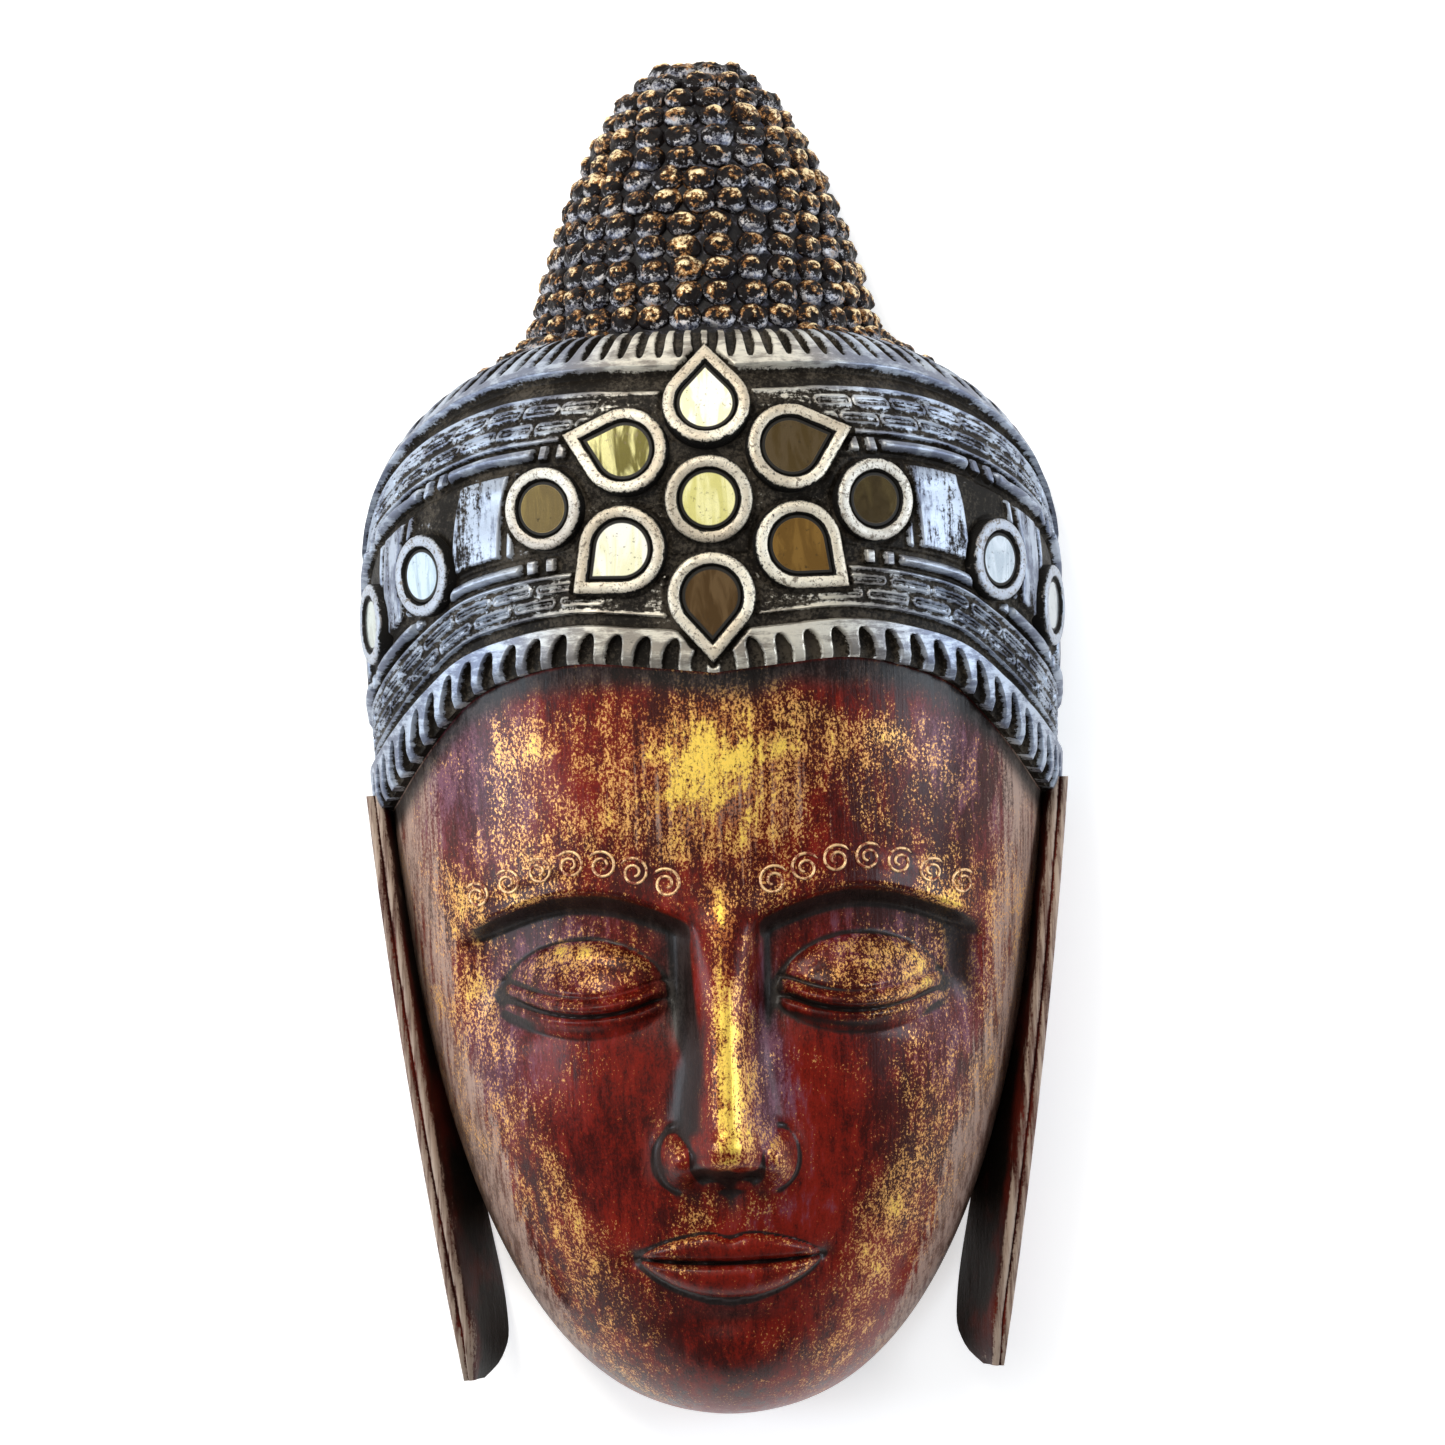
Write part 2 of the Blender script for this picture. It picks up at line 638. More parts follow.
class Finish:
    """A Principled material with colour and bump built from noise and from the carving's own attributes."""

    def __init__(self, name, roughness=0.5, coat=0.0, coat_roughness=0.1, specular=0.25):
        self.material = bpy.data.materials.new(name)
        self.material.use_nodes = True
        self.tree = self.material.node_tree
        self.shader = self.tree.nodes["Principled BSDF"]
        self.shader.inputs["Roughness"].default_value = roughness
        self.shader.inputs["Specular IOR Level"].default_value = specular
        self.shader.inputs["Coat Weight"].default_value = coat
        self.shader.inputs["Coat Roughness"].default_value = coat_roughness
        self.place = self.node("TexCoord", {})["Object"]

    def link(self, value, socket):
        """Link a signal or a mixed colour to a socket, or set a plain value there."""
        if isinstance(value, Signal):
            value = value.socket
        if isinstance(value, bpy.types.NodeSocket):
            self.tree.links.new(value, socket)
        else:
            socket.default_value = (*value, 1) if socket.type == "RGBA" else value

    def node(self, kind, inputs, **settings):
        """The outputs of a new shader node. Its settings come first, because they choose its sockets."""
        made = self.tree.nodes.new("ShaderNode" + kind)
        for name, value in settings.items():
            setattr(made, name, value)
        for name, value in inputs.items():
            self.link(value, made.inputs[name])
        return made.outputs

    def carved(self, label):
        return Signal(self, self.node("Attribute", {}, attribute_name=label)["Fac"])

    def noise(self, scale, detail=4, roughness=0.6, stretch=(1, 1, 1), distortion=0.0):
        stretched = self.node("Mapping", {"Vector": self.place, "Scale": stretch})["Vector"]
        inputs = {"Vector": stretched, "Scale": scale, "Detail": detail, "Roughness": roughness}
        return Signal(self, self.node("TexNoise", {**inputs, "Distortion": distortion})["Fac"])

    def mix(self, factor, a, b):
        return self.node("Mix", {"Factor": factor, "A": a, "B": b}, data_type="RGBA")["Result"]

    def paint(self, colour, roughness=None, metallic=None):
        for name, value in (("Base Color", colour), ("Roughness", roughness), ("Metallic", metallic)):
            if value is not None:
                self.link(value, self.shader.inputs[name])

    def bump(self, height, distance, strength=1.0):
        outputs = self.node("Bump", {"Height": height, "Distance": distance, "Strength": strength})
        self.link(outputs["Normal"], self.shader.inputs["Normal"])


def face_lacquer():
    """Deep red lacquer with worn gold leaf, plum and grey-brown wear, and dark cuts."""
    f = Finish("face_lacquer", coat=0.10, coat_roughness=0.2, specular=0.12)
    cloud = f.noise(14, 4, 0.6)
    fine = f.noise(150, 5, 0.7, (1.5, 0.4, 1))
    grain = f.noise(120, 5, 0.65, (5, 0.2, 1))
    dust = f.noise(1000, 3, 0.75, (1.2, 0.8, 1))
    patch = f.noise(24, 6, 0.7, (1, 1, 1), 0.8)
    red_area = cloud + fine.swing(0.8) + dust.swing(0.5)
    red = f.mix(red_area.step(0.34, 0.68), (0.036, 0.003, 0.002), (0.195, 0.009, 0.003))
    plum_area = f.carved("plum") + cloud.swing(2.0) + fine.swing(1.6)
    plum = f.mix((fine + dust.swing(0.8)).step(0.40, 0.62), (0.05, 0.015, 0.028), (0.165, 0.07, 0.11))
    colour = f.mix(plum_area.step(0.25, 0.8) * 0.85, red, plum)
    worn = (f.carved("dust") + grain.swing(1.7) + dust.swing(1.3)).step(0.3, 0.8)
    pale = f.mix((grain + dust.swing(0.5)).step(0.36, 0.62), (0.18, 0.11, 0.082), (0.42, 0.29, 0.23))
    colour = f.mix(worn * 0.88, colour, pale)
    want = f.carved("gold") + patch.swing(2.4) + fine.swing(1.4) + grain.swing(0.7)
    dusting = (dust.swing(4.4) + want * 1.1).step(0.6, 1.1)
    leaf = (want + dust.swing(2.6)).step(1.0, 1.3)
    gold = (dusting * 0.85).most(leaf)
    tone = (patch + fine.swing(1.6) + dust.swing()).step(0.40, 0.66)
    dust_colour = f.mix(tone, (0.42, 0.13, 0.035), (0.80, 0.42, 0.13))
    gold_colour = f.mix((want + dust.swing(1.2)).step(0.82, 1.22), dust_colour, (0.92, 0.64, 0.11))
    colour = f.mix(gold, colour, gold_colour)
    colour = f.mix(f.carved("crest").step(0.47, 0.25) * 0.93, colour, (0.012, 0.010, 0.009))
    cold = f.mix((fine + dust.swing(0.6)).step(0.42, 0.66), (0.006, 0.006, 0.005), (0.040, 0.038, 0.034))
    colour = f.mix(f.carved("shade") * 0.9, colour, cold)
    f.paint(colour, worn * 0.3 + fine.swing(0.5) + 0.34, gold * 0.5)
    f.bump(grain * 0.5 + fine * 0.35 + dust * 0.15, 0.0007, 0.6)
    return f.material


def crown_silver():
    """Silver paint over black: bright on the carving's tops, worn through in streaks, black in the cuts."""
    f = Finish("crown_silver", specular=0.08)
    round_streak = f.noise(130, 6, 0.75, (0.5, 2.6, 1))
    down_streak = f.noise(130, 6, 0.75, (2.8, 0.3, 1))
    speckle = f.noise(700, 4, 0.75)
    blot = f.noise(55, 5, 0.65)
    panel, cool = f.carved("panel"), f.carved("cool")
    streak = down_streak * panel + round_streak * (panel * -1 + 1)
    silver = (f.carved("top") + streak.swing(1.7) + speckle.swing(1.3) + blot.swing()).step(0.36, 0.66)
    metal = f.mix(cool, (0.72, 0.68, 0.58), (0.41, 0.46, 0.54))
    dull = f.mix(cool, (0.30, 0.27, 0.23), (0.16, 0.18, 0.24))
    metal = f.mix((streak.swing() + blot.swing()).step(-0.10, 0.12), dull, metal)
    black = f.mix((blot + speckle.swing()).step(0.42, 0.68), (0.010, 0.008, 0.006), (0.060, 0.050, 0.038))
    f.paint(f.mix(silver, black, metal), streak * 0.25 + 0.30, silver * 0.7)
    f.bump(streak * 0.6 + speckle * 0.4, 0.0006, 0.6)
    return f.material


def ring_silver():
    """Thick pale silver paint on the mirror rings, cracked a little, with dark inner edges."""
    f = Finish("ring_silver", specular=0.08)
    crack = f.noise(240, 6, 0.85, (1, 1, 1), 0.6)
    speckle = f.noise(800, 3, 0.75)
    top = (f.carved("top") + crack.swing(2.6) + speckle.swing(1.6)).step(0.44, 0.7)
    warm = f.mix(f.noise(30, 3).step(0.4, 0.6), (0.60, 0.52, 0.40), (0.86, 0.80, 0.66))
    metal = f.mix(f.carved("cool"), warm, (0.42, 0.46, 0.53))
    metal = f.mix((crack.swing() + speckle.swing()).step(0.04, 0.15) * 0.85, metal, (0.15, 0.12, 0.09))
    f.paint(f.mix(top, (0.012, 0.011, 0.010), metal), 0.36, top * 0.55)
    f.bump(crack + speckle * 0.5, 0.0006, 0.6)
    return f.material


def curl_bronze():
    """Black curls with rubbed bronze and gold tops, and grey-blue paint left on their sides."""
    f = Finish("curl_bronze", specular=0.08)
    patch = f.noise(38, 4, 0.6)
    blot = f.noise(170, 5, 0.75)
    speckle = f.noise(750, 4, 0.75)
    top = f.carved("top")
    fine = speckle.swing(1.8) + blot.swing(2.0)
    rub = (top + fine + patch.swing(1.6)).step(0.34, 0.60)
    gold = (top + speckle.swing(2.6) + patch.swing(1.6) + blot.swing(1.8)).step(0.66, 0.95)
    bronze = f.mix((blot + speckle.swing(0.6)).step(0.40, 0.62), (0.050, 0.019, 0.008), (0.33, 0.15, 0.050))
    bronze = f.mix(gold, bronze, (0.90, 0.72, 0.42))
    side = (f.carved("flank") + fine + patch.swing(-1.6)).step(0.74, 1.05)
    pale = f.mix((blot + speckle.swing()).step(0.42, 0.66), (0.11, 0.12, 0.17), (0.46, 0.45, 0.46))
    flank = f.mix(side, (0.008, 0.006, 0.006), pale)
    f.paint(f.mix(rub, flank, bronze), 0.38, rub.most(side) * 0.5)
    f.bump(speckle * 0.4 + blot * 0.6, 0.0008, 0.7)
    return f.material


def hair_ground():
    """Black ground between the curls with a little grey-blue paint."""
    f = Finish("hair_ground")
    blot = f.noise(190, 5, 0.7)
    f.paint(f.mix(blot.step(0.5, 0.68), (0.010, 0.009, 0.010), (0.13, 0.13, 0.17)))
    f.bump(blot, 0.0008)
    return f.material


def ear_wood():
    """Brown-red ears, dry and grey where the paint is worn at the edge, black inside."""
    f = Finish("ear_wood", specular=0.12)
    grain = f.noise(95, 6, 0.7, (4, 0.25, 1))
    speckle = f.noise(800, 4, 0.7)
    top = f.carved("top")
    red = f.mix(f.noise(30, 4).step(0.4, 0.65), (0.040, 0.007, 0.005), (0.13, 0.016, 0.009))
    grey = f.mix(grain.step(0.38, 0.6), (0.15, 0.09, 0.07), (0.46, 0.36, 0.29))
    worn = (top + grain.swing(2.4) + speckle.swing(1.4)).step(0.35, 0.8)
    inner = (top + f.noise(22, 4).swing(0.5)).step(0.12, 0.02)
    f.paint(f.mix(inner, f.mix(worn, red, grey), (0.012, 0.009, 0.007)), worn * 0.25 + 0.4)
    f.bump(grain * 0.7 + speckle * 0.3, 0.0006, 0.7)
    return f.material


def back_wood():
    """Dark stained wood, gouged by hand, behind the face."""
    f = Finish("back_wood")
    grain = f.noise(55, 6, 0.65, (7, 0.4, 3), 0.4)
    fibre = f.noise(240, 4, 0.7, (5, 0.2, 2))
    f.paint(f.mix(grain, (0.035, 0.018, 0.010), (0.15, 0.085, 0.045)), fibre * 0.25 + 0.5)
    f.bump(grain * 0.5 + fibre * 0.5, 0.0006)
    return f.material


def mirror_glass(name, tint, shade):
    """Old mirror glass, tinted, with faint streaks in its silvering and dark putty along its edge."""
    f = Finish(f"glass_{name}")
    streak = f.noise(70, 3, 0.6, (2.5, 0.5, 1), 0.8)
    spot = f.noise(500, 3, 0.7)
    putty = f.carved("putty")
    colour = f.mix(streak.step(0.42, 0.6), tint, shade)
    colour = f.mix(spot.step(0.6, 0.72) * 0.6, colour, (0.05, 0.04, 0.03))
    colour = f.mix(putty, colour, (0.016, 0.014, 0.011))
    f.paint(colour, spot * 0.10 + putty * 0.4 + 0.10, putty * -0.85 + 0.85)
    return f.material


def gilt_line():
    """The brow scrolls' worn gold over red."""
    f = Finish("gilt_line")
    gold = f.noise(330, 5, 0.7).step(0.40, 0.54)
    f.paint(f.mix(gold, (0.20, 0.035, 0.02), (0.86, 0.56, 0.28)), 0.4, gold * 0.5)
    return f.material


# Pieces
def spaced(places, density, count):
    """A number of places, closest together where the density is high."""
    run = np.concatenate([[0], np.cumsum((density[1:] + density[:-1]) / 2)])
    return np.interp(np.linspace(0, run[-1], count), run, places)


def face_marks():
    """Heights of the face's lines, closest together at the chin's edge, mouth, nose base, lids and brows."""
    fine = np.linspace(0, CROWN_LOW(0), 4000)
    density = 0.8 + 9.0 * np.exp(-fine / 2.5)
    for at, reach, more in ((MOUTH, 12, 0.9), (NOSE_BASE, 5, 1.0), (EYE - 3, 12, 0.9), (BROW + 8, 6, 0.4)):
        density += more * np.exp(-(((fine - at) / reach) ** 4))
    return spaced(fine, density, FACE_ROWS)


def face_lines(mark, v):
    """Height of each line at v. The lines bend along the lids, the brows and the crown's lower edge."""
    to_lid = curve_through((122, 0), (131, 0.5), (139, 1), (152.5, 1), (158, 0.6), (165, 0.3), (171, 0))
    to_brow = curve_through(
        (152, 0), (158, 0.1), (165, 0.35), (171, 0.55), (184, 0.9), (190, 1),
        (202, 1), (212, 0.8), (225, 0.5), (240, 0.25), (256, 0),
    )
    to_crown = curve_through((150, 0), (202, 0.08), (212, 0.2), (225, 0.45), (240, 0.7), (256, 0.9), (272, 1))
    x = HEAD_HALF * np.sin(np.clip(np.abs(v) / (1 - UPRIGHT_SPAN), 0, 1) * math.pi / 2)
    bend = to_lid(mark) * lid_bend(x) - to_brow(mark) * brow_bend(x)
    return mark + bend + to_crown(mark) * (crown_low(v) - crown_low(0.0))


def wood_body(lacquer, ground, back):
    """The carved block as one closed mesh: face, bare head under crown and curls, flat back and hollow."""
    spread = np.linspace(-1, 1, FACE_COLUMNS)
    v = spread * (0.60 + 0.40 * spread**2)
    marks = face_marks()
    face_y = face_lines(marks[:, None], v)
    under = np.linspace(0, 1, CAP_ROWS)[1:, None]
    start = face_y[-1] + 2.0  # the first line under the crown
    rest_y = start + (KNOT_TOP - start) * under**0.9
    y = np.concatenate([face_y, start[None], rest_y])
    vv = np.broadcast_to(v, y.shape)
    points = bare(vv, y)
    x = points[..., 0]
    shows = 1 - ramp(y, crown_low(vv) - 12, crown_low(vv))
    carved = face_rise(x, y) + fine_lines(x, y)
    carved += 0.12 * wobble(x, y, 3, 26)
    rise = carved * shows
    points[..., 2] += rise
    covered = within(y, crown_low(vv) + 3.5, crown_top(vv) - 3.5, 2.5)
    points -= outward(vv, y) * (1.5 * covered)[..., None]
    points[:, [0, -1], 2] = 0
    rows, columns = y.shape

    side = np.abs(x)
    on_face = shows * (y > 0)
    crest = stand_out(rise, 3, 4, 0.55)
    crest = np.where(on_face > 0, crest, 0.5)
    shadow = 1 - ramp(crown_low(vv) - y + 1.5 * wobble(x, y, 8, 30), 4, 13)
    on_nose = line_at(x, -0.5, 5.5) * ramp(y, NOSE_BASE, NOSE_BASE + 8) * (1 - ramp(y, BROW, BROW + 20))
    edge = side / np.maximum(half_width(y), 1)
    band = 0.62 + 0.20 * ramp(y, 55, 120)  # the gilt band down the outer cheek and jaw
    gold = 1.05 * hump(x, y, -6, BROW + 58, 44, 27) + 0.55 * hump(x, y, 0, BROW + 26, 24, 26) + 0.88 * on_nose
    gold += 0.5 * hump(x, y, -68, BROW + 62, 18, 16) + 0.35 * hump(x, y, 68, BROW + 58, 36, 20)
    gold += 0.50 * line_at(edge, band, 0.21) * within(y, 18, 210, 18) + 0.3 * hump(x, y, 0, 8, 70, 14)
    gold += 0.7 * hump(x, y, -13, NOSE_BASE - 13, 8, 9) + 0.5 * hump(x, y, 13, NOSE_BASE - 13, 7, 8)
    gold += 0.36 * hump(side, y, 46, EYE + 12, 24, 10) + 0.9 * np.clip(crest - 0.55, 0, 1)
    gold += 0.2 * hump(side, y, 62, BROW + 22, 40, 16)
    plum = 0.6 * hump(side, y, 60, EYE + 18, 28, 22) + 0.7 * hump(side, y, 88, BROW + 55, 22, 40)
    plum += 0.6 * hump(x, y, 15, NOSE_TIP + 32, 8, 40) + 0.5 * hump(side, y, 80, 135, 16, 36)
    dust = ramp(edge, 0.74, 0.93) * ramp(y, 2, 34) + 0.2 * (1 - ramp(y, 2, 16)) - 0.2
    dust += 0.75 * hump(x, y, 0, BROW + 44, 50, 36) + 0.3 * hump(side, y, 84, 80, 26, 50)
    hollows = stand_out(rise, 9, 12, 0.12)
    shade = box_blur(np.clip((0.36 - hollows) * 2.8, 0, 1), 5, 6) * on_face + shadow * (y < crown_low(vv))
    attributes = {"crest": crest, "gold": gold, "plum": plum, "dust": dust, "shade": np.clip(shade, 0, 1)}

    low, high = WALL / PART + 3, KNOT_BASE - KNOT_CORE / PART
    around = np.linspace(-1, 1, HOLLOW_LINES) * math.pi / 2
    turn = around[:, None]
    inner_y = (low + high) / 2 + (high - low) / 2 * np.sin(turn)
    end = np.sqrt(np.clip(np.cos(turn), 0, 1))
    cuts = np.sin(around * 14 + 1.3 * np.sin(turn * 9)) * np.sin(turn * 17 + around)
    gouge = 1 - 0.008 * np.abs(cuts)
    inner_x = (half_width(inner_y) - WALL / PART) * end * np.sin(around) * gouge
    inner_z = (depth(inner_y) - 1.2 * WALL / PART) * end * np.clip(np.cos(around), 0, 1) * gouge
    inner = np.stack([inner_x, np.broadcast_to(inner_y, inner_x.shape), inner_z], -1)
    inner[:, [0, -1], 2] = 0

    flat = np.concatenate([points.reshape(-1, 3), inner.reshape(-1, 3)])
    first = rows * columns
    outside = grid_faces(rows, columns)
    hollow = grid_faces(HOLLOW_LINES, HOLLOW_LINES, first)
    rims = zipped(rim_loop(flat, rows, columns), rim_loop(flat, HOLLOW_LINES, HOLLOW_LINES, first))
    face_rows = len(marks)
    slots = np.concatenate([
        np.zeros((face_rows - 1) * (columns - 1), int), np.ones((rows - face_rows) * (columns - 1), int),
        np.full(len(hollow) + len(rims), 2),
    ])
    padding = np.full(HOLLOW_LINES**2, 0.5)
    attributes = {name: np.concatenate([values.ravel(), padding]) for name, values in attributes.items()}
    body = add_piece("wood_body", flat, outside + hollow + rims, [lacquer, ground, back], attributes, slots)
    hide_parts("mask")


def crown_shares(low, high, count):
    """Rows across a strip of the crown, close together where the carving has edges."""
    fine = np.linspace(low, high, 3000)
    density = np.full(fine.shape, 1.0)
    for edge in (0, TRIM, CHAIN, BAND, BAND_TOP, CHAIN_TOP, TRIM_TOP, 1):
        density += 1.2 * np.exp(-(((fine - edge) / 0.012) ** 2))
    return spaced(fine, density, count)


def crown_strip(name, silver, low, high, count):
    """A closed strip of the crown between two shares of its height."""
    shares = crown_shares(low, high, count)[:, None]
    v = np.linspace(-1, 1, TRIM_TEETH * STRIP_STEPS + 1)
    y = crown_y(v, shares)
    vv, ss = np.broadcast_to(v, y.shape), np.broadcast_to(shares, y.shape)
    base, normal = bare(vv, y), outward(vv, y)
    at_ground = base + normal * BAND_RISE
    rise, paint = crown_rise(vv, ss, at_ground)
    run_out = ramp(np.abs(vv), 0.955, 1.0)
    rise = rise + (GROUND_RISE - rise) * 0.8 * run_out
    rise += 0.10 * wobble(vv * HALF_ROUND, y, 5, 14)
    points = base + normal * rise[..., None]
    points[..., 2] = np.maximum(points[..., 2], 0.3)

    worn = stand_out(rise, 7, 7, 0.30)
    top = paint + 0.5 * (worn - 0.5)
    middle = (ss - BAND) / (BAND_TOP - BAND)
    panel = ramp(rise, 4.6, 5.0) * within(middle, 0.05, 0.95, 0.02)
    cool = ramp(np.abs(vv), 0.16, 0.42)
    rows, columns = y.shape

    inner_v = v[::8]  # the hidden inner side is plainer
    inner_y = crown_y(inner_v, np.linspace(high, low, 9)[:, None])
    inner_vv = np.broadcast_to(inner_v, inner_y.shape)
    inner = bare(inner_vv, inner_y) - outward(inner_vv, inner_y) * 3.0
    inner[..., 2] = np.maximum(inner[..., 2], 0.3)
    inner_rows, inner_columns = inner_y.shape
    first = rows * columns
    flat = np.concatenate([points.reshape(-1, 3), inner.reshape(-1, 3)])
    faces = grid_faces(rows, columns) + grid_faces(inner_rows, inner_columns, first)
    last = first + (inner_rows - 1) * inner_columns
    faces += zipped(list(zip(inner_v, range(last, last + inner_columns))), list(zip(v, range(columns))))
    faces += zipped(
        list(zip(v, range((rows - 1) * columns, rows * columns))),
        list(zip(inner_v, range(first, first + inner_columns))),
    )
    for column, inner_column in ((0, 0), (columns - 1, inner_columns - 1)):
        outer_run = [(flat[r * columns + column][1], r * columns + column) for r in range(rows)]
        inner_run = [first + r * inner_columns + inner_column for r in reversed(range(inner_rows))]
        faces += zipped(outer_run, [(flat[i][1], i) for i in inner_run])
    hidden = np.zeros(inner_rows * inner_columns)
    attributes = {
        label: np.concatenate([values.ravel(), hidden])
        for label, values in (("top", top), ("cool", cool), ("panel", panel))
    }
    strip = add_piece(name, flat, faces, [silver], attributes, sharp=60)
    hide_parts("mask")


def drop_outline(radius, tip):
    """Points round a circle or a drop with its tip along X, evenly spaced."""
    if tip <= 1.0:
        turns = np.linspace(0, 2 * math.pi, 96, endpoint=False)
        return np.stack([radius * np.cos(turns), radius * np.sin(turns)], -1)
    flank = math.acos(1 / tip)
    turns = np.linspace(flank, 2 * math.pi - flank, 78)
    arc = np.stack([radius * np.cos(turns), radius * np.sin(turns)], -1)
    point = np.array([radius * tip, 0.0])
    share = np.linspace(0, 1, 11)[1:, None]
    out = point + (arc[0] - point) * share[:-1]
    back = arc[-1] + (point - arc[-1]) * share[:-1]
    return np.concatenate([[point], out, arc, back])


def stacked(loops):
    """Points and side faces of closed loops laid one after another."""
    count = len(loops[0])
    faces = []
    for k in range(len(loops) - 1):
        for i in range(count):
            a, b = k * count + i, k * count + (i + 1) % count
            faces.append((a, b, b + count, a + count))
    return np.concatenate(loops), faces


def gather(points, faces, more_points, more_faces):
    """Add one closed form to the lists of a piece's points and faces."""
    first = sum(len(p) for p in points)
    points.append(more_points)
    faces += [tuple(i + first for i in face) for face in more_faces]


def placed(place, outline, height):
    """An outline at a height over its seat, in parts of the carver's grid."""
    flat = np.column_stack([outline, np.full(len(outline), float(height))])
    matrix = np.array(place)
    return flat @ matrix[:3, :3].T + matrix[:3, 3]


def mirror_rings(silver):
    """The carved rings that hold the mirrors, each a closed ring sunk in the crown."""
    points, faces, tops, cools = [], [], [], []
    rise, root = RING_RISE / PART, RING_ROOT / PART
    for _, place, tip, radius in PLACES:
        inner_radius = radius + MIRROR_GAP / PART
        width = RING_WIDTH / PART
        profile = (
            (0.0, -root, 0.0), (0.0, rise - 1.5, 0.0), (0.05, rise - 1.3, 0.0), (0.11, rise - 0.4, 0.3),
            (0.2, rise, 1.0), (0.6, rise, 1.0), (0.84, rise - 0.2, 0.95), (0.96, rise - 0.8, 0.5),
            (1.0, rise - 1.8, 0.1), (1.0, -root, 0.0),
        )
        loops = [placed(place, drop_outline(inner_radius + width * w, tip), h) for w, h, _ in profile]
        loops.append(loops[0])
        gather(points, faces, *stacked(loops))
        count = len(loops[0])
        tops += [np.full(count, t) for *_, t in profile] + [np.zeros(count)]
        aside = ramp(abs(place.translation.x), 40, 90)
        cools.append(np.full(len(points[-1]), float(aside)))
    attributes = {"top": np.concatenate(tops), "cool": np.concatenate(cools)}
    rings = add_piece("mirror_rings", np.concatenate(points), faces, [silver], attributes, sharp=60)
    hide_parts("mask")


TINTS = {
    "mirror_centre": ((0.95, 0.92, 0.48), (0.74, 0.70, 0.26)),
    "mirror_petal_top": ((0.98, 0.97, 0.84), (0.90, 0.88, 0.55)),
    "mirror_petal_upper_left": ((0.13, 0.125, 0.06), (0.026, 0.023, 0.005)),
    "mirror_petal_lower_left": ((0.98, 0.98, 0.90), (0.88, 0.88, 0.62)),
    "mirror_petal_upper_right": ((0.20, 0.13, 0.05), (0.26, 0.18, 0.09)),
    "mirror_petal_lower_right": ((0.55, 0.30, 0.075), (0.38, 0.20, 0.05)),
    "mirror_petal_bottom": ((0.070, 0.040, 0.016), (0.12, 0.075, 0.035)),
    "mirror_band_left_1": ((0.60, 0.44, 0.17), (0.44, 0.32, 0.14)),
    "mirror_band_right_1": ((0.08, 0.055, 0.025), (0.12, 0.085, 0.035)),
    "mirror_band_left_2": ((0.50, 0.60, 0.70), (0.36, 0.45, 0.52)),
    "mirror_band_right_2": ((0.50, 0.56, 0.62), (0.36, 0.42, 0.48)),
    "mirror_band_left_3": ((0.46, 0.52, 0.48), (0.36, 0.40, 0.36)),
    "mirror_band_right_3": ((0.46, 0.50, 0.52), (0.34, 0.38, 0.40)),
}


def mirrors():
    """Each cut mirror as a plate with a ground edge, in its pocket."""
    face = (RING_RISE - MIRROR_SINK) / PART
    floor = face - MIRROR_THICKNESS / PART
    edge = 0.35
    # Loops of the plate: how far inside its outline, how high, how much of the putty covers it
    section = (
        (edge, floor, 1), (0.0, floor + edge, 1), (0.0, face - edge, 1), (edge, face, 1),
        (PUTTY_LAP / PART - 0.15, face, 1), (PUTTY_LAP / PART + 0.15, face, 0),
    )
    for name, place, tip, radius in PLACES:
        loops = [placed(place, drop_outline(radius - inset, tip), height) for inset, height, _ in section]
        points, faces = stacked(loops)
        count = len(loops[0])
        faces += [tuple(range(count)), tuple(range(len(points) - count, len(points)))]
        putty = {"putty": np.repeat([float(covered) for *_, covered in section], count)}
        plate = add_piece(f"{name}_glass", points, faces, [mirror_glass(name, *TINTS[name])], putty, sharp=20)
        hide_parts(name)


def curl_heights():
    y = np.linspace(crown_top(1.0) + 3, KNOT_TOP - 0.5, 900)
    steps = np.linalg.norm(np.diff(bare(0.6, y), axis=0), axis=1)
    run = np.concatenate([[0], np.cumsum(steps)])
    count = int(round(run[-1] / CURL_ROW))
    return np.interp(np.linspace(0, run[-1], 2 * count + 1), run, y)


def curl_count(y):
    around = bare(np.linspace(-1, 1, 60), y)
    return max(2, int(round(np.linalg.norm(np.diff(around, axis=0), axis=1).sum() / CURL_PITCH)))


